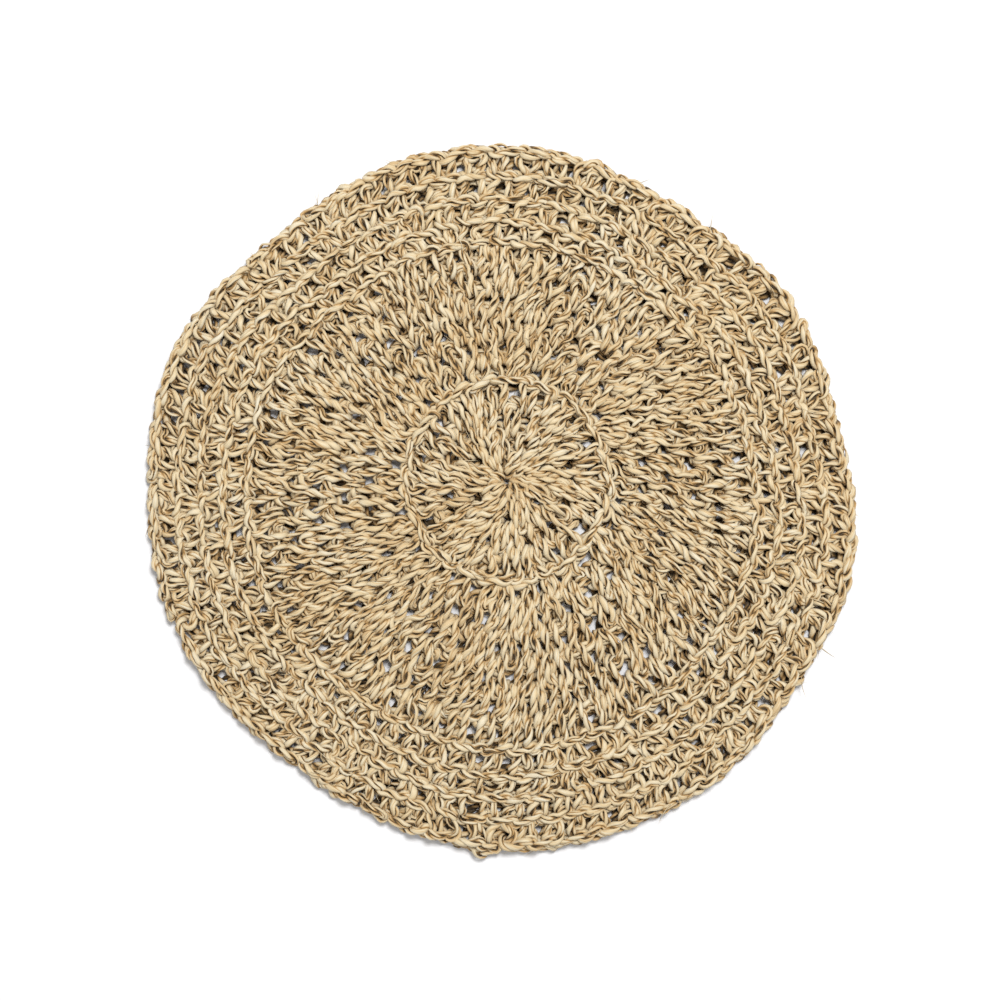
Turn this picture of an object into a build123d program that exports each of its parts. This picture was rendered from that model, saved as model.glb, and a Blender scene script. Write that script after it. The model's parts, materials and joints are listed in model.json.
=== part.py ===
"""Round chair seat pad, crocheted from two-ply seagrass cord.

The pad lies flat on Z = 0 and its seat side faces +Z. The origin is at the middle of its
underside. It is worked outwards from a starting loop, which sits a little off the middle,
in rounds of single crochet. Where a round is worked through both loops of the one before,
its legs reach back over those loops. Where it is worked through the back loops only, the
free front loops stay up as a raised ridge that hangs out over the next round's feet.
"""

import os
from math import cos, radians, sin

from build123d import *

# Driving dimensions, in millimetres and degrees
cord_diameter = 3.9
rounds = 14
round_height = 13.45  # width of a round, measured outwards from the centre
round_clearance = 0.3  # between the standing faces of two rounds

start_x = 4.0  # the starting loop lies off the pad's middle
start_y = 10.3
first_drifting_round = 4  # rounds up to this one keep to the starting loop's centre
last_drifting_round = 11  # rounds from this one on keep to the pad's middle

rim_ovality = 2.6  # how far the rim's long axis stands out of round, at each end
oval_heading = 147  # direction of the long axis

hole_radius = 2.5  # hole left inside the starting loop
ridge_rounds = (4, 10, 11, 12, 13)  # rounds whose front loops are left free
ridge_reach = 2.6  # how far a ridge hangs out over the next round
leg_reach = 2.0  # how far legs reach back over the loops they are worked through
ridge_width = 6.0
rim_width = 9.0
edge_rounding = 1.6

tail_clearance = 0.2  # around an end that is woven in at the back
start_tail_round = 2  # the round that hides the starting end
start_tail_angle = 150
start_tail_heading = 20
finish_tail_angle = 20
finish_tail_heading = -91
knot_diameter = 5.6
knot_lift = 4.8
knot_heading = -93

# Worked-out sizes
foot_height = cord_diameter  # back strands, one cord thick
face_height = 2.4 * cord_diameter  # front legs, lying over the back strands
ridge_height = 3 * cord_diameter  # loops, lying over both


def drift(n):
    """Share of the way that round n has moved from the starting loop to the pad's middle."""
    along = (n - first_drifting_round) / (last_drifting_round - first_drifting_round)
    return min(max(along, 0), 1)


def edge_radius(n):
    """Mean radius of the outer edge of round n, or of the starting loop where n is 0."""
    return n * round_height if n else hole_radius + cord_diameter


def middle(n):
    """Centre of the outer edge of round n."""
    return start_x * (1 - drift(n)), start_y * (1 - drift(n))


def ovality(n):
    """How far round n is out of round: nothing at the centre, all of it at the rim."""
    return rim_ovality * (n / rounds) ** 2


def inside(n, reach=0.0):
    """The area inside the outer edge of round n, with that edge moved outwards by reach."""
    radius = edge_radius(n) + reach
    with BuildSketch() as area:
        with Locations(middle(n)):
            Ellipse(radius + ovality(n), radius - ovality(n), rotation=oval_heading)
    return area.sketch


def rim_point(heading):
    """A point on the rim, in this direction from the pad's middle."""
    radius = edge_radius(rounds) + rim_ovality * cos(radians(2 * (heading - oval_heading)))
    return radius * cos(radians(heading)), radius * sin(radians(heading))


def lap(n):
    """How far the edge between round n and the next moves outwards above the feet."""
    if n == rounds:
        return 0.0
    return ridge_reach if n in ridge_rounds else -leg_reach


def tail_area(n, heading, sweep, width):
    """A slot along the middle of round n, for an end of cord woven in at the back."""
    with BuildSketch() as slot:
        with BuildLine() as route:
            CenterArc(middle(n), (edge_radius(n - 1) + edge_radius(n)) / 2, heading, sweep)
        SlotArc(route.edge(), height=width)
    return slot.sketch


tails = {
    "start_tail": (start_tail_round, start_tail_heading, start_tail_angle),
    "finish_tail": (rounds, finish_tail_heading, finish_tail_angle),
}

os.makedirs("parts", exist_ok=True)

# Starting loop, round the centre hole
with BuildPart() as start_ring:
    with BuildSketch():
        with Locations((start_x, start_y)):
            Circle(edge_radius(0))
            Circle(hole_radius, mode=Mode.SUBTRACT)
    extrude(amount=foot_height)
start_ring.part.label = "start_ring"
export_step(start_ring.part, "parts/start_ring.step")

# Rounds of single crochet
knot_centre = (*rim_point(knot_heading), knot_lift)
for n in range(1, rounds + 1):
    ridged = n in ridge_rounds or n == rounds
    with BuildPart() as crochet_round:
        with BuildSketch():
            add(inside(n))
            add(inside(n - 1, round_clearance), mode=Mode.SUBTRACT)
        extrude(amount=foot_height)
        with BuildSketch(Plane.XY.offset(foot_height)):
            add(inside(n, lap(n)))
            if n == 1:
                with Locations((start_x, start_y)):
                    Circle(hole_radius, mode=Mode.SUBTRACT)
            else:
                add(inside(n - 1, lap(n - 1) + round_clearance), mode=Mode.SUBTRACT)
        extrude(amount=face_height - foot_height)
        if ridged:
            width = rim_width if n == rounds else ridge_width
            with BuildSketch(Plane.XY.offset(face_height)):
                add(inside(n, lap(n)))
                add(inside(n, lap(n) - width), mode=Mode.SUBTRACT)
            extrude(amount=ridge_height - face_height)
            fillet(crochet_round.edges().group_by(Axis.Z)[-1], edge_rounding)
        for tail_round, heading, sweep in tails.values():
            if tail_round == n:
                with BuildSketch():
                    add(tail_area(n, heading, sweep, cord_diameter + 2 * tail_clearance))
                extrude(amount=cord_diameter + tail_clearance, mode=Mode.SUBTRACT)
        if n == rounds:
            with Locations(knot_centre):
                Sphere(knot_diameter / 2 + tail_clearance, mode=Mode.SUBTRACT)
    crochet_round.part.label = f"round_{n:02d}"
    export_step(crochet_round.part, f"parts/round_{n:02d}.step")

# Ends of the cord, woven in at the back
for name, (tail_round, heading, sweep) in tails.items():
    with BuildPart() as tail:
        with BuildSketch():
            add(tail_area(tail_round, heading, sweep, cord_diameter))
        extrude(amount=cord_diameter)
    tail.part.label = name
    export_step(tail.part, f"parts/{name}.step")

# Fastening-off knot, which stands a little proud of the rim
with BuildPart() as end_knot:
    with Locations(knot_centre):
        Sphere(knot_diameter / 2)
end_knot.part.label = "end_knot"
export_step(end_knot.part, "parts/end_knot.step")
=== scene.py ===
"""Round chair seat pad, crocheted from two-ply twisted seagrass cord.

The cord is followed stitch by stitch, from the starting loop to the fastened-off end, then
settled like a limp rope so that its strands press on each other instead of passing through.
Each of its two plies is then laid round that line as a bundle of folded leaf.
Lengths are in metres, apart from those that are counted in cord diameters.
"""

import json
import math

import bpy
import numpy as np
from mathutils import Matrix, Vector


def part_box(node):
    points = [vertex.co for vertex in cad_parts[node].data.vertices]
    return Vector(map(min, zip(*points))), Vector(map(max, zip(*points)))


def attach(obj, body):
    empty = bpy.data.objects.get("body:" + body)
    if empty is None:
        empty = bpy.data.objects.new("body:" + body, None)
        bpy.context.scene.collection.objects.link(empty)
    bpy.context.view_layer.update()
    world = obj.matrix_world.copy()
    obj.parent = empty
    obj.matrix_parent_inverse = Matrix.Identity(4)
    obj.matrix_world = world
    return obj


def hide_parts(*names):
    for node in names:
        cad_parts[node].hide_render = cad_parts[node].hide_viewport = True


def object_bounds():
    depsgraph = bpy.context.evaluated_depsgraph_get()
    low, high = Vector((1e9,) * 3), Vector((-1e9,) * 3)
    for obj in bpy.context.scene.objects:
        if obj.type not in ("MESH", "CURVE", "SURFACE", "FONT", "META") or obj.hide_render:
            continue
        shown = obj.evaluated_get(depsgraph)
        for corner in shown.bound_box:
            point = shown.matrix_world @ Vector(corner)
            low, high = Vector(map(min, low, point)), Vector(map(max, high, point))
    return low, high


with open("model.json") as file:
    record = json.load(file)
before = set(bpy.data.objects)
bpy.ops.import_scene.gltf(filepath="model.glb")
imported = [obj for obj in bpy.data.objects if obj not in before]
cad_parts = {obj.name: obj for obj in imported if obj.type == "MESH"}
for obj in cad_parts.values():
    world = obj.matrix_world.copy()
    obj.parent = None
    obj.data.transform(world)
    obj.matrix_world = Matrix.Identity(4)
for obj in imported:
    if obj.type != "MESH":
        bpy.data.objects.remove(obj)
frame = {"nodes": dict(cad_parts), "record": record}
cad_low, cad_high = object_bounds()

# ---------------------------------------------------------------- sizes
MM = 0.001
TURN = 2 * math.pi
ROUNDS = sum(1 for name in frame["nodes"] if name.startswith("round_"))
FIRST_STITCHES = 6  # stitches in the first round, and added in each round after it
RIDGED = (4, 10, 11, 12, 13)  # rounds whose front loops stay free
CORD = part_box("start_tail")[1].z  # diameter; the tail lies flat on the floor
THICKNESS = cad_high.z
MIDDLE = THICKNESS / 2
LAY = 3.7 * CORD  # length in which the plies turn once round each other
LEAF_STEP = 0.36 * CORD  # spacing of the rings of points along a leaf
SIDES = 7  # points round a leaf
PLIES = 2
LEAVES = 2  # folded leaves in each ply
PLY_OUT = 0.225 * CORD  # from the cord's middle to a ply's middle
LEAF_OUT = 0.180 * CORD  # from a ply's middle to a leaf's middle
LEAF_THICK, LEAF_WIDE = 0.165 * CORD, 0.250 * CORD  # half of a folded leaf's section
LEAN = 0.06  # how far a post leans from its hole, in stitches
SMALLEST_GAP = 0.1 * MM  # between the leaves and the floor
FRESH = np.random.default_rng(14)

# How the rounds leave the circle: lobes, swell at the rim and direction of one lobe's peak
SWELLS = (
    (1, 1.2, 50), (2, 2.6, 147), (3, 1.1, 58), (4, 1.7, 2),
    (6, 1.2, 35), (7, 1.0, -6), (8, 0.7, 76), (9, 0.8, -7),
)
RIM_TUCK = 6.6 * MM  # the outermost loops reach this far past the line that they are worked on


# ---------------------------------------------------------------- camera, light and floor
def set_stage():
    """Camera straight above, a soft light high over the far side, and a plain pale floor."""
    view_width = 0.530
    lens, sensor = 85.0, 36.0
    camera = bpy.data.objects.new("camera", bpy.data.cameras.new("camera"))
    camera.data.lens = lens
    camera.data.sensor_width = sensor
    camera.location = (0.0, 0.0, MIDDLE + view_width * lens / sensor)
    bpy.context.scene.collection.objects.link(camera)
    bpy.context.scene.camera = camera

    light = bpy.data.lights.new("key", "AREA")
    light.size = 0.5
    light.energy = 44.0
    lamp = bpy.data.objects.new("key", light)
    lamp.location = (0.28, 0.66, 2.05)
    lamp.rotation_euler = (-Vector(lamp.location)).to_track_quat("-Z", "Y").to_euler()
    bpy.context.scene.collection.objects.link(lamp)

    world = bpy.data.worlds.new("studio")
    world.use_nodes = True
    sky = world.node_tree.nodes["Background"].inputs
    sky["Color"].default_value = (1.0, 1.0, 1.0, 1.0)
    sky["Strength"].default_value = 0.60
    bpy.context.scene.world = world
    bpy.context.scene.view_settings.view_transform = "Standard"

    reach = 3.0
    corners = [(-reach, -reach, 0), (reach, -reach, 0), (reach, reach, 0), (-reach, reach, 0)]
    mesh = bpy.data.meshes.new("floor")
    mesh.from_pydata(corners, [], [(0, 1, 2, 3)])
    floor = bpy.data.objects.new("floor", mesh)
    bpy.context.scene.collection.objects.link(floor)
    paint = bpy.data.materials.new("pale_floor")
    paint.use_nodes = True
    shader = paint.node_tree.nodes["Principled BSDF"].inputs
    shader["Base Color"].default_value = (0.80, 0.80, 0.81, 1)
    shader["Roughness"].default_value = 0.9
    mesh.materials.append(paint)


set_stage()


# ---------------------------------------------------------------- the rounds' edges
def cad_places(node):
    """The corner points of a CAD piece, as rows of x, y, z."""
    mesh = frame["nodes"][node].data
    places = np.empty(3 * len(mesh.vertices))
    mesh.vertices.foreach_get("co", places)
    return places.reshape(-1, 3)


def foot_edges():
    """Centre and mean radius of each round's outer edge at the underside, from the CAD rounds."""
    low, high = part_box("start_ring")
    centres = [((low.x + high.x) / 2, (low.y + high.y) / 2)]
    radii = [0.8 * CORD]
    for n in range(1, ROUNDS + 1):
        places = cad_places(f"round_{n:02d}")
        foot = places[places[:, 2] < 0.1 * MM, :2]
        low, high = foot.min(0), foot.max(0)
        centres.append(tuple((low + high) / 2))
        radii.append((high - low).mean() / 2)
    first_tucked = RIDGED[1]
    tucked = np.clip(np.arange(ROUNDS + 1) - first_tucked, 0, None) / (ROUNDS - first_tucked)
    return np.array(centres), np.array(radii) - RIM_TUCK * tucked


CENTRES, RADII = foot_edges()
START_HEADING = math.radians(-97)


def on_pad(place, angle):
    """The point at this angle and this many rounds out from the centre."""
    steps = np.arange(ROUNDS + 1)
    beyond = np.clip(place - ROUNDS, 0, None)
    inside = np.clip(place, None, 0)
    radius = (
        np.interp(place, steps, RADII)
        + beyond * (RADII[-1] - RADII[-2])
        + inside * (RADII[1] - RADII[0])
    )
    swell = sum(
        size * MM * np.cos(lobes * (angle - math.radians(peak)))
        for lobes, size, peak in SWELLS
    )
    radius = radius + swell * (np.clip(place, 0, None) / ROUNDS) ** 2
    x = np.interp(place, steps, CENTRES[:, 0]) + radius * np.cos(angle)
    y = np.interp(place, steps, CENTRES[:, 1]) + radius * np.sin(angle)
    return x, y


# ---------------------------------------------------------------- the cord's way through the stitches
def stitch_angles():
    """Per round: the angle of each stitch's post, and of the hole that it is worked through."""
    posts, holes = [], []
    for n in range(1, ROUNDS + 1):
        count = FIRST_STITCHES * n
        number = np.arange(count)
        even = START_HEADING + TURN * number / count
        if n == 1:
            hole = even.copy()
        else:
            below = posts[-1]
            gap = np.diff(np.append(below, below[0] + TURN))
            into = (number * (n - 1) + FRESH.integers(0, n)) // n
            into = np.minimum(into, len(below) - 1)
            hole = below[into] + 0.5 * gap[into]
            shared = np.diff(into) == 0
            spread = 0.14 * gap[into]
            hole[:-1][shared] -= spread[:-1][shared]
            hole[1:][shared] += spread[1:][shared]
        lean = LEAN * TURN / count
        even += (hole - even).mean() + lean
        post = 0.5 * even + 0.5 * (hole + lean)
        post += FRESH.normal(0, 0.09, count) * TURN / count
        posts.append(np.sort(post))
        holes.append(hole)
    return posts, holes


def round_of_stitches(n, posts, holes):
    """Points that the cord passes in round n: rows of x, y, z."""
    post, hole = posts[n - 1], holes[n - 1]
    count = len(post)
    ahead = np.diff(np.append(post, post[0] + TURN))
    behind = np.roll(ahead, 1)
    radius = np.interp(n - 1, np.arange(ROUNDS + 1), RADII) + 0.3 * CORD
    strand = CORD / radius if n > 1 else 0.35 * ahead.mean()
    strand = min(strand, 0.30 * ahead.mean())
    # Where the cord goes through and over the round below; a ridge there stays free of it
    if n - 1 in RIDGED:
        pass_in, pass_z, over_in, over_z, leg_z = -0.10, 0.10, 0.13, 0.72, 0.75
    else:
        pass_in, pass_z, over_in, over_z, leg_z = -0.30, 0.30, -0.02, 1.00, 0.95
    if n == 1:
        pass_in, over_in = 0.0, 0.18
    # Heights of the loop at the top of the stitch, and place of its back strand
    if n == ROUNDS:
        loop_z, back_out, back_z = (0.75, 1.0, 0.9, -0.3), 1.14, -0.05
    elif n in RIDGED:
        loop_z, back_out, back_z = (0.85, 1.18, 1.05, -0.25), 1.09, -0.35
    else:
        loop_z, back_out, back_z = (0.0, 0.10, 0.05, -0.20), 1.09, -0.45

    def mix(a, b, share):
        return a + (b - a) * share

    low_left = mix(hole, post - 0.33 * ahead, 0.12) - 0.42 * strand
    low_right = mix(hole, post + 0.33 * ahead, 0.12) + 0.42 * strand
    way = [  # angle, rounds outwards from the edge below, height in cord diameters, looseness
        # along the back, down to the hole
        (post - 0.50 * behind, 0.88, -0.80, 1.0),
        (mix(hole, post - 0.5 * behind, 0.35), 0.34, -1.00, 1.0),
        (hole - 0.35 * strand, pass_in + 0.06, -0.78, 0.4),
        # through to the front and up the left leg
        (hole - 0.45 * strand, pass_in, pass_z, 0.4),
        (low_left, over_in, over_z, 0.5),
        (mix(low_left, post - 0.36 * ahead, 0.60), 0.50, leg_z, 1.2),
        (post - 0.34 * ahead, 0.88, 0.50, 1.0),
        (post - 0.06 * ahead, 1.02, -0.10, 0.5),
        # down the right leg and through to the back
        (post + 0.27 * ahead, 0.88, 0.42, 0.8),
        (mix(low_right, post + 0.33 * ahead, 0.60), 0.50, leg_z, 1.2),
        (low_right, over_in, over_z, 0.5),
        (hole + 0.45 * strand, pass_in, pass_z, 0.4),
        (hole + 0.30 * strand, pass_in + 0.06, -0.80, 0.4),
        # up the back and into the loop at the top, which the next stitch's loop comes out of
        (mix(hole, post, 0.45), 0.38, -0.92, 1.0),
        (post + 0.06 * ahead, 0.82, -0.55, 0.7),
        (post, 1.02, 0.15, 0.4),
        (post + 0.25 * ahead, 1.07, loop_z[0], 0.5),
        (post + 0.62 * ahead, 1.03, loop_z[1], 0.9),
        (post + 0.98 * ahead, 0.95, loop_z[2], 0.7),
        (post + 1.14 * ahead, 0.97, loop_z[3], 0.4),
        (post + 0.93 * ahead, back_out, back_z, 0.5),
        (post + 0.50 * ahead, back_out, back_z - 0.05, 0.8),
        (post + 0.14 * ahead, 1.02, -0.60, 0.6),
    ]
    rows = []
    for angle, out, height, loose in way:
        angle = angle + FRESH.normal(0, 0.068, count) * loose * ahead
        out = out + FRESH.normal(0, 0.042, count) * loose
        height = height + FRESH.normal(0, 0.10, count) * loose
        x, y = on_pad(n - 1 + out, angle)
        rows.append(np.stack([x, y, MIDDLE + height * CORD], 1))
    return np.stack(rows, 1).reshape(-1, 3)


def smooth_line(points, spacing):
    """A smooth line through the points, as evenly spaced points, and where each given point is."""
    points = np.asarray(points)
    before = np.vstack([2 * points[0] - points[1], points[:-1]])
    after = np.vstack([points[1:], 2 * points[-1] - points[-2]])
    slope = (after - before) / 2
    parts = 6
    t = np.linspace(0, 1, parts, endpoint=False)[None, :, None]
    a, b = points[:-1, None], points[1:, None]
    ta, tb = slope[:-1, None], slope[1:, None]
    line = (
        (2 * t**3 - 3 * t**2 + 1) * a + (t**3 - 2 * t**2 + t) * ta
        + (3 * t**2 - 2 * t**3) * b + (t**3 - t**2) * tb
    ).reshape(-1, 3)
    line = np.vstack([line, points[-1:]])
    run = np.concatenate([[0], np.cumsum(np.linalg.norm(np.diff(line, axis=0), axis=1))])
    count = max(2, int(round(run[-1] / spacing)) + 1)
    at = np.linspace(0, run[-1], count)
    even = np.stack([np.interp(at, run, line[:, k]) for k in range(3)], 1)
    marks = run[::parts] / run[-1] * (count - 1)
    return even, marks


def neighbours(points, reach, apart):
    """Pairs of points nearer than reach, leaving out those within apart places on one cord."""
    low = points.min(0)
    cell = ((points - low) / reach).astype(np.int64) + 1
    size = cell.max(0) + 2
    key = (cell[:, 0] * size[1] + cell[:, 1]) * size[2] + cell[:, 2]
    order = np.argsort(key, kind="stable")
    sorted_key = key[order]
    found_a, found_b = [], []
    shifts = [
        (i * size[1] + j) * size[2] + k
        for i in (-1, 0, 1) for j in (-1, 0, 1) for k in (-1, 0, 1)
        if (i, j, k) >= (0, 0, 0)
    ]
    for shift in shifts:
        first = np.searchsorted(sorted_key, key + shift, "left")
        last = np.searchsorted(sorted_key, key + shift, "right")
        many = last - first
        a = np.repeat(np.arange(len(points)), many)
        start = np.repeat(first - np.concatenate([[0], np.cumsum(many)[:-1]]), many)
        b = order[start + np.arange(len(a))]
        keep = np.abs(a - b) > apart
        if shift == 0:
            keep &= a < b
        a, b = a[keep], b[keep]
        near = np.linalg.norm(points[a] - points[b], axis=1) < reach
        found_a.append(a[near])
        found_b.append(b[near])
    return np.concatenate(found_a), np.concatenate(found_b)


def settle(points, spacing, passes):
    """Pushes strands that press into each other apart, and keeps the cord smooth and at its length."""
    home = points.copy()
    apart = 0.90 * CORD
    near, along_itself = 1.35 * CORD, int(1.5 * CORD / spacing)
    lowest, highest = 0.5 * CORD, THICKNESS - 0.42 * CORD
    look_again_every = 6
    push, pull_together, stiffness, memory = 1.3, 0.25, 0.22, 0.02
    pair_a = pair_b = None
    for turn in range(passes):
        if turn % look_again_every == 0:
            pair_a, pair_b = neighbours(points, near, along_itself)
        gap = points[pair_b] - points[pair_a]
        far = np.linalg.norm(gap, axis=1) + 1e-9
        press = np.clip(apart - far, 0, None)
        touch = press > 0
        a, b = pair_a[touch], pair_b[touch]
        move = gap[touch] * (0.5 * press[touch] / far[touch])[:, None]
        many = np.bincount(a, minlength=len(points)) + np.bincount(b, minlength=len(points))
        for k in range(3):
            shift = np.bincount(b, move[:, k], len(points)) - np.bincount(a, move[:, k], len(points))
            points[:, k] += push * shift / np.maximum(many, 1)
        for _ in range(2):
            span = np.diff(points, axis=0)
            length = np.linalg.norm(span, axis=1)
            pull = span * (pull_together * (length - spacing) / length)[:, None]
            points[:-1] += pull
            points[1:] -= pull
        points[1:-1] += stiffness * (0.5 * (points[:-2] + points[2:]) - points[1:-1])
        points += memory * (home - points)
        points[:, 2] = np.clip(points[:, 2], lowest, highest)
    return points


def mean_step(points):
    return np.linalg.norm(np.diff(points, axis=0), axis=1).mean()


posts, holes = stitch_angles()
ways = [round_of_stitches(n, posts, holes) for n in range(1, ROUNDS + 1)]
line, marks = smooth_line(np.vstack(ways), 0.42 * CORD)
ends = np.cumsum([0] + [len(way) for way in ways])
line = settle(line, mean_step(line), 48)


# ---------------------------------------------------------------- plies laid round the line
def finer(points, spacing):
    """The same line with its points at another spacing, smoothly placed."""
    even, _ = smooth_line(points, spacing)
    return even


def carried_frames(points):
    """Per point: the line's direction, and a side direction that never twists round it."""
    way = np.gradient(points, axis=0)
    way /= np.linalg.norm(way, axis=1)[:, None]
    side = Vector(way[0]).orthogonal().normalized()
    last = Vector(way[0])
    sides = np.empty_like(way)
    sides[0] = side
    for k in range(1, len(way)):
        now = Vector(way[k])
        side.rotate(last.rotation_difference(now))
        side = (side - now * side.dot(now)).normalized()
        sides[k] = side
        last = now
    return way, sides, np.cross(way, sides)


def wander(count, every, size):
    """A smooth random curve: count values, with a new bend about every so many places."""
    knots = FRESH.normal(0, size, max(4, int(count / every) + 4))
    at = np.linspace(0, len(knots) - 1.001, count)
    low = at.astype(int)
    part = at - low
    part = part * part * (3 - 2 * part)
    return knots[low] * (1 - part) + knots[low + 1] * part


def leaf_rings(points, frames, turns, ply, leaf, body):
    """Rings of points round one folded leaf of a ply, and the painted shade at each: darker the deeper
    it lies in the cord, at the leaf's edges and low in the pad.
    """
    way, side, up = frames
    count = len(points)
    body = body * (1.12 + 0.32 * np.clip((MIDDLE - points[:, 2]) / CORD, 0, 1))
    ply_angle = turns + TURN * ply / PLIES + wander(count, 14, 0.18)
    out = side * np.cos(ply_angle)[:, None] + up * np.sin(ply_angle)[:, None]
    across = np.cross(way, out)
    leaf_angle = TURN * leaf / LEAVES - 0.8 * ply_angle + wander(count, 11, 0.45)
    ply_out = PLY_OUT * body * (1 + wander(count, 9, 0.08))
    leaf_out = LEAF_OUT * body * (1 + wander(count, 9, 0.25))
    out_at = ply_out + leaf_out * np.cos(leaf_angle)
    across_at = leaf_out * np.sin(leaf_angle) * 1.25
    # A leaf is full where it lies on the outside of its ply, and pinched where it dives under
    pinch = np.clip(1 + 0.30 * np.cos(leaf_angle) + wander(count, 5, 0.22), 0.40, 1.5)
    thick = LEAF_THICK * body * pinch * (1 + wander(count, 7, 0.12))
    wide = LEAF_WIDE * body * pinch * (1 + wander(count, 7, 0.15))
    tilt = 0.5 * np.pi + np.arctan2(across_at, out_at) + wander(count, 10, 0.35)
    around = np.arange(SIDES) / SIDES * TURN
    crease = 1 + 0.12 * np.cos(3 * around[None] + wander(count, 12, 1.5)[:, None])
    flat_x = wide[:, None] * crease * np.cos(around)[None]
    flat_y = thick[:, None] * crease * np.sin(around)[None]
    cos_tilt, sin_tilt = np.cos(tilt)[:, None], np.sin(tilt)[:, None]
    radial = out_at[:, None] + flat_x * cos_tilt - flat_y * sin_tilt
    sideways = across_at[:, None] + flat_x * sin_tilt + flat_y * cos_tilt
    rings = (
        points[:, None] + out[:, None] * radial[:, :, None] + across[:, None] * sideways[:, :, None]
    )
    rings[..., 2] = np.maximum(rings[..., 2], SMALLEST_GAP)
    # Painted shade: the value drops towards the cord's middle, where the plies press together and
    # shade falls.
    surface = np.hypot(radial, sideways) / (0.52 * CORD * body[:, None])
    # The leaf's narrow edges are darker: partly the leaf's own brown edges, partly painted shade.
    edge = np.abs(np.cos(around))[None] ** 3
    # Painted shade: lower strands are darker, standing in for the shade among the strands of the pad.
    shade = 0.12 + 0.88 * np.clip(rings[..., 2] / (0.66 * THICKNESS), 0, 1)
    return rings, surface * (1 - 0.40 * edge) * shade


class Bundle:
    """Collects tubes and slivers, then becomes one mesh object."""

    def __init__(self):
        self.points, self.faces, self.depth = [], [], []
        self.grain, self.strips, self.lids = [], [], []
        self.total = 0

    def tube(self, rings, depth, start, tone, strip_every):
        """A closed tube of rings, with painted shade values at its points. start is where it begins
        along the cord, in metres.
        """
        count, sides = rings.shape[:2]
        first = self.total
        self.points.append(rings.reshape(-1, 3))
        self.depth.append(depth.reshape(-1))
        self.total += count * sides
        ring = np.arange(count - 1)[:, None] * sides
        side = np.arange(sides)[None]
        near = first + ring + side
        nearby = first + ring + (side + 1) % sides
        quads = np.stack([near, nearby, nearby + sides, near + sides], 2).reshape(-1, 4)
        self.faces.append(quads)
        along = start + np.concatenate(
            [[0], np.cumsum(np.linalg.norm(np.diff(rings.mean(1), axis=0), axis=1))]
        )
        a0 = np.repeat(along[:-1, None], sides, 1)
        a1 = np.repeat(along[1:, None], sides, 1)
        r0 = np.repeat(side / sides, count - 1, 0)
        r1 = r0 + 1 / sides
        corners = np.stack([a0, r0, a0, r1, a1, r1, a1, r0], 2).reshape(-1, 4, 2)
        corners[:, :, 1] += tone
        self.grain.append(corners)
        # Places on the bake map: one strip for each so many rings
        strip = np.arange(count - 1) // strip_every
        part = (np.arange(count - 1) % strip_every) / strip_every
        width = 1 / strip_every
        u0 = np.repeat(part[:, None], sides, 1)
        where = np.stack([u0, r0, u0, r1, u0 + width, r1, u0 + width, r0], 2).reshape(-1, 4, 2)
        base = self.strips[-1][0].max() + 1 if self.strips else 0
        self.strips.append((np.repeat(base + strip, sides), where))
        for ring_at, turned in ((0, True), (count - 1, False)):
            lid = [first + ring_at * sides + k for k in range(sides)]
            self.lids.append((lid[::-1] if turned else lid, along[ring_at]))

    def build(self, name):
        """The mesh object, with its grain map, its bake map and its painted shade values."""
        points = np.vstack(self.points)
        quads = np.vstack(self.faces)
        lids = self.lids
        lid_sizes = [len(lid) for lid, _ in lids]
        mesh = bpy.data.meshes.new(name)
        mesh.vertices.add(len(points))
        mesh.vertices.foreach_set("co", points.astype(np.float32).ravel())
        lid_corners = [k for lid, _ in lids for k in lid]
        starts = np.concatenate([
            np.arange(len(quads)) * 4,
            4 * len(quads) + np.concatenate([[0], np.cumsum(lid_sizes)[:-1]]),
        ]).astype(np.int32)
        corners = np.concatenate([quads.ravel(), lid_corners]).astype(np.int32)
        mesh.loops.add(len(corners))
        mesh.loops.foreach_set("vertex_index", corners)
        mesh.polygons.add(len(starts))
        mesh.polygons.foreach_set("loop_start", starts)
        mesh.update(calc_edges=True)
        mesh.validate()
        grain = np.vstack(self.grain).reshape(-1, 2)
        lid_grain = np.array([(at, 0.5) for lid, at in lids for _ in lid])
        mesh.uv_layers.new(name="grain").uv.foreach_set(
            "vector", np.vstack([grain, lid_grain]).astype(np.float32).ravel()
        )
        strip = np.concatenate([s for s, _ in self.strips])
        where = np.concatenate([w for _, w in self.strips])
        count = strip.max() + 2
        strip_shape = 12  # strips stacked for each one side by side
        columns = max(1, int(round(math.sqrt(count / strip_shape))))
        rows = -(-count // columns)
        inset = np.array([0.01, 0.10])
        cell = np.stack([strip % columns, strip // columns], 1)[:, None]
        bake = (cell + inset + where * (1 - 2 * inset)) / np.array([columns, rows])
        spare = np.array([(count - 1) % columns, (count - 1) // columns])
        lid_bake = []
        for k, size in enumerate(lid_sizes):
            for corner in range(size):
                a = TURN * corner / size
                at = ((k + 0.5 + 0.2 * math.cos(a)) / len(lids), 0.5 + 0.3 * math.sin(a))
                lid_bake.append((spare + at) / (columns, rows))
        mesh.uv_layers.new(name="OFBake").uv.foreach_set(
            "vector", np.vstack([bake.reshape(-1, 2), lid_bake]).astype(np.float32).ravel()
        )
        # Painted shade per point, which the seagrass material darkens its colour with
        depth = mesh.attributes.new("depth", "FLOAT", "POINT")
        depth.data.foreach_set("value", np.concatenate(self.depth).astype(np.float32))
        mesh.polygons.foreach_set("use_smooth", np.ones(len(mesh.polygons), bool))
        mesh.uv_layers.active = mesh.uv_layers["grain"]
        obj = bpy.data.objects.new(name, mesh)
        bpy.context.scene.collection.objects.link(obj)
        return obj


def lay_plies(bundle, points, frames, turns, start, body=1.0, strip_every=40):
    """The cord's leaves laid round the line, into the bundle."""
    for ply in range(PLIES):
        for leaf in range(LEAVES):
            rings, depth = leaf_rings(points, frames, turns, ply, leaf, body)
            bundle.tube(rings, depth, start, 7.3 * ply + 3.1 * leaf, strip_every)


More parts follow.
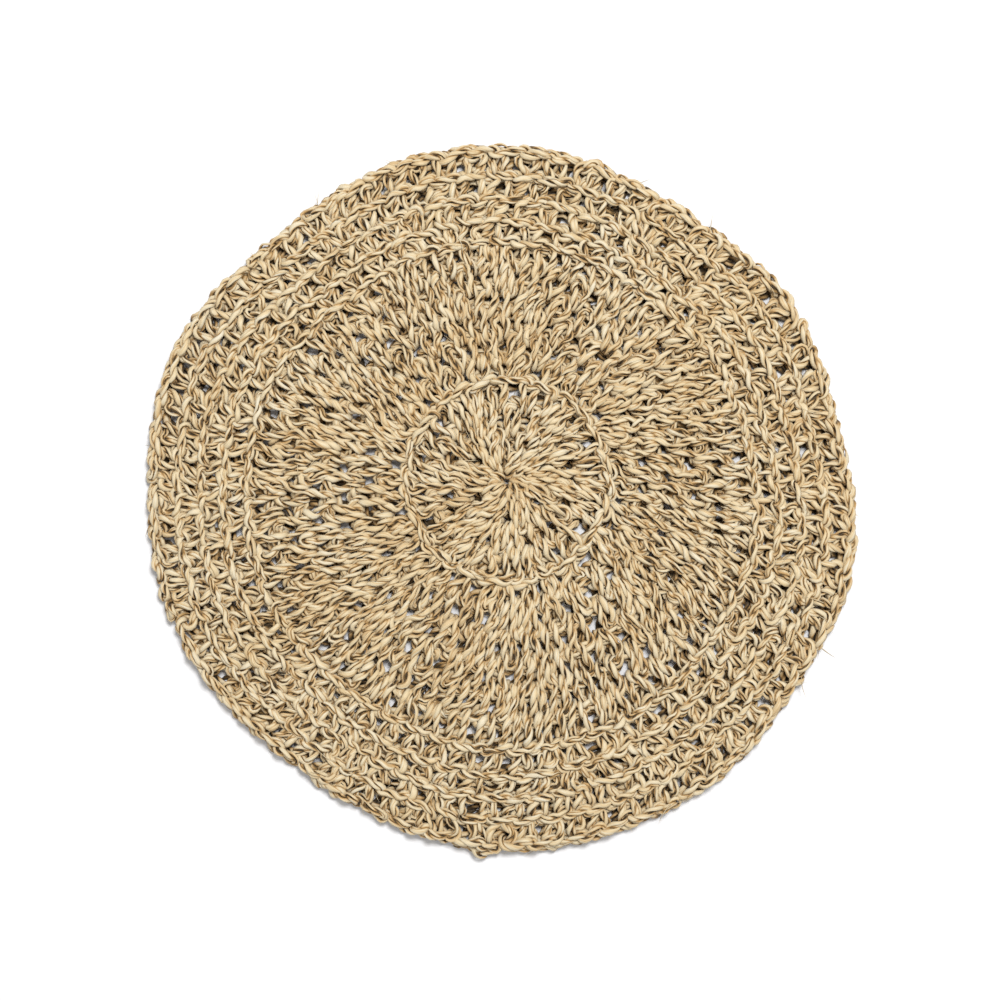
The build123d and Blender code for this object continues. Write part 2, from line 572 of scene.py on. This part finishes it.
def splinters(bundle, points, frames, many):
    """Fine split ends of leaf that stand off the cord."""
    way, side, up = frames
    picks = FRESH.integers(4, len(points) - 4, many)
    rows, sides, unshaded = 7, 3, 1.15
    t = np.linspace(0, 1, rows)[:, None]
    around = (np.arange(sides) / sides * TURN)[None, :, None]
    for k in picks:
        angle, rise = FRESH.uniform(0, TURN), FRESH.uniform(0.06, 0.5)
        length, width = FRESH.uniform(5, 15) * MM, FRESH.uniform(0.10, 0.22) * MM
        out = side[k] * math.cos(angle) + up[k] * math.sin(angle)
        ahead = way[k] * FRESH.choice((-1, 1))
        across = np.cross(ahead, out)
        bend = across * FRESH.normal(0, 0.35)
        spine = points[k] + out * 0.40 * CORD + length * (
            ahead * math.cos(rise) * t + out * math.sin(rise) * t * (1 - 0.3 * t) + bend * t**2
        )
        spine[:, 2] = np.clip(spine[:, 2], 2 * width, THICKNESS + 0.3 * CORD)
        girth = width * (1.05 - t**2)
        section = out * np.cos(around) + across * np.sin(around) * 1.6
        rings = spine[:, None] + girth[:, None] * section
        # The slivers stand clear of the cord, so their painted shade value is full: plain straw
        # colour, no painted shade.
        bundle.tube(rings, np.full((rows, sides), unshaded), FRESH.uniform(0, 50), 0.5, rows - 1)


# ---------------------------------------------------------------- seagrass
class Tone:
    """A value on the surface, or a colour or direction there, read from a shader node."""

    def __init__(self, dyer, socket):
        self.dyer, self.socket = dyer, socket

    def _with(self, operation, first, second):
        return self.dyer.node("ShaderNodeMath", {"operation": operation}, {0: first, 1: second})

    def __add__(self, other):
        return self._with("ADD", self, other)

    __radd__ = __add__

    def __sub__(self, other):
        return self._with("SUBTRACT", self, other)

    def __rsub__(self, other):
        return self._with("SUBTRACT", other, self)

    def __mul__(self, other):
        return self._with("MULTIPLY", self, other)

    __rmul__ = __mul__


class Dyer:
    """Makes one material's nodes."""

    def __init__(self, name):
        self.material = bpy.data.materials.new(name)
        self.material.use_nodes = True
        self.tree = self.material.node_tree
        self.shader = self.tree.nodes["Principled BSDF"]

    def feed(self, socket, value):
        if isinstance(value, Tone):
            self.tree.links.new(value.socket, socket)
        else:
            socket.default_value = value

    def node(self, kind, settings=None, inputs=None, output=0):
        """A node of this kind, with its settings made first, then its inputs fed."""
        made = self.tree.nodes.new(kind)
        for name, value in (settings or {}).items():
            if name == "stops":
                for stop in range(2, len(value)):
                    made.color_ramp.elements.new(0.5)
                for element, (at, colour) in zip(made.color_ramp.elements, value):
                    element.position, element.color = at, colour
            else:
                setattr(made, name, value)
        for name, value in (inputs or {}).items():
            self.feed(made.inputs[name], value)
        return Tone(self, made.outputs[output])

    def noise(self, where, scale, detail=2.0, rough=0.5):
        return self.node("ShaderNodeTexNoise", {"noise_dimensions": "3D"},
                         {"Vector": where, "Scale": scale, "Detail": detail, "Roughness": rough})

    def stretch(self, where, x, y, z):
        return self.node("ShaderNodeVectorMath", {"operation": "MULTIPLY"}, {0: where, 1: (x, y, z)})

    def ramp(self, value, stops):
        return self.node("ShaderNodeValToRGB", {"stops": stops}, {"Fac": value})

    def between(self, share, first, second):
        return self.node("ShaderNodeMix", {"data_type": "RGBA"}, {0: share, 6: first, 7: second}, 2)

    def steps(self, value, low, high):
        return self.node("ShaderNodeMapRange", {"interpolation_type": "SMOOTHSTEP"},
                         {0: value, 1: low, 2: high, 3: 0.0, 4: 1.0})


def dried_seagrass(name, pale):
    """Twisted dry leaf: long streaks of straw and brown, with painted shade (amber, then near black)
    in the cord's folds, along the leaf edges (there partly the leaf's own brown) and low in the pad,
    and a faint sheen.
    """
    dyer = Dyer(name)
    grain = dyer.node("ShaderNodeUVMap", {"uv_map": "grain"})
    depth = dyer.node("ShaderNodeAttribute", {"attribute_name": "depth"}, output=2)
    place = dyer.node("ShaderNodeTexCoord", output=3)
    streak = dyer.noise(dyer.stretch(grain, 55, 11, 1), 1.0, 3.0, 0.6)
    fibre = dyer.noise(dyer.stretch(grain, 160, 42, 1), 1.0, 2.0, 0.6)
    leaf = dyer.noise(dyer.stretch(grain, 14, 2.6, 1), 1.0, 2.0, 0.5)
    patch = dyer.noise(place, 26.0, 2.0)
    tone = streak * 0.60 + leaf * 0.50 + fibre * 0.50 + patch * 0.20 - 0.40 + pale
    straw = dyer.ramp(tone, [
        (0.22, (0.345, 0.195, 0.075, 1)),
        (0.36, (0.515, 0.348, 0.166, 1)),
        (0.47, (0.628, 0.486, 0.276, 1)),
        (0.58, (0.656, 0.562, 0.386, 1)),
        (0.74, (0.668, 0.620, 0.500, 1)),
    ])
    # Painted shade: amber where the per-point shade value is middling, near black where it is low, as
    # in the cord's folds and deep in the pad.
    folded = dyer.between(dyer.steps(depth, 0.40, 0.72), (0.510, 0.305, 0.110, 1), straw)
    colour = dyer.between(dyer.steps(depth, 0.16, 0.56), (0.058, 0.036, 0.014, 1), folded)
    dyer.feed(dyer.shader.inputs["Base Color"], colour)
    dyer.feed(dyer.shader.inputs["Roughness"], 0.66 - 0.26 * streak)
    height = streak * 0.6 + fibre * 0.5
    bump = dyer.node("ShaderNodeBump", {}, {"Strength": 0.55, "Distance": 0.0006, "Height": height})
    dyer.feed(dyer.shader.inputs["Normal"], bump)
    dyer.shader.inputs["Specular IOR Level"].default_value = 0.35
    dyer.shader.inputs["Sheen Weight"].default_value = 0.08
    return dyer.material


seagrass = {
    "seagrass_cord": dried_seagrass("seagrass_cord", 0.0),
    "seagrass_ridged": dried_seagrass("seagrass_ridged", 0.02),
    "seagrass_rim": dried_seagrass("seagrass_rim", 0.01),
}
SLOTS = {part["node"]: part["material_slot"] for part in frame["record"]["subparts"]}


# ---------------------------------------------------------------- the pieces
fine = finer(line, LEAF_STEP)
scale = (len(fine) - 1) / (len(line) - 1)
frames = carried_frames(fine)
step = mean_step(fine)
turns = TURN * step / LAY * np.arange(len(fine)) + wander(len(fine), 40, 0.5)
cuts = [int(round(marks[min(end, len(marks) - 1)] * scale)) for end in ends]


def put_in_place(bundle, name, node):
    """The bundle as a piece of seagrass that takes this node's place."""
    piece = bundle.build(name)
    piece.data.materials.append(seagrass[SLOTS[node]])
    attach(piece, "root")
    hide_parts(node)


for n in range(1, ROUNDS + 1):
    node = f"round_{n:02d}"
    part = slice(cuts[n - 1], cuts[n] + 1)
    bundle = Bundle()
    own_frames = [f[part] for f in frames]
    lay_plies(bundle, fine[part], own_frames, turns[part], cuts[n - 1] * step)
    splinters(bundle, fine[part], own_frames, 12 * n)
    put_in_place(bundle, node + "_crochet", node)


def loop_of_cord(name, node, way):
    """A separate stretch of the cord, along its own way."""
    points = finer(np.array(way), step)
    bundle = Bundle()
    own_turns = TURN * step / LAY * np.arange(len(points))
    lay_plies(bundle, points, carried_frames(points), own_turns, FRESH.uniform(0, 9), 0.9)
    put_in_place(bundle, name, node)


def arc_points(centre, radius, first, last, height, count):
    """Points on a level arc, from the first angle to the last."""
    return [
        (centre[0] + radius * math.cos(a), centre[1] + radius * math.sin(a), height)
        for a in np.linspace(first, last, count)
    ]


ring_way = arc_points(CENTRES[0], 1.25 * CORD, 0, TURN * 1.04, 0.55 * CORD, 24)
loop_of_cord("start_ring_loop", "start_ring", ring_way)


def tail_on_back(name, node, n):
    """A woven-in end, along the arc that the CAD piece takes under round n."""
    flat = cad_places(node)[:, :2] - CENTRES[n]
    middle = math.atan2(*flat.mean(0)[::-1])
    angles = (np.arctan2(flat[:, 1], flat[:, 0]) - middle + math.pi) % TURN - math.pi
    reach = np.hypot(flat[:, 0], flat[:, 1])
    radius = (reach.min() + reach.max()) / 2
    inset = 0.5 * CORD / radius
    first, last = middle + angles.min() + inset, middle + angles.max() - inset
    loop_of_cord(name, node, arc_points(CENTRES[n], radius, first, last, 0.5 * CORD, 14))


tail_on_back("start_tail_cord", "start_tail", 2)
tail_on_back("finish_tail_cord", "finish_tail", ROUNDS)

# The pulled-tight last stitch: the cord comes out to a point on the rim and goes back in
low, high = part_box("end_knot")
knot = (low + high) / 2
knot_way = np.array([
    (-2.6, 1.5, -0.5), (-1.3, 0.6, 0.1), (-0.2, -0.35, 0.1), (1.1, 0.10, 0.1), (2.5, 0.55, -0.3),
])
loop_of_cord("end_knot_loop", "end_knot", np.array(knot) + knot_way * CORD)
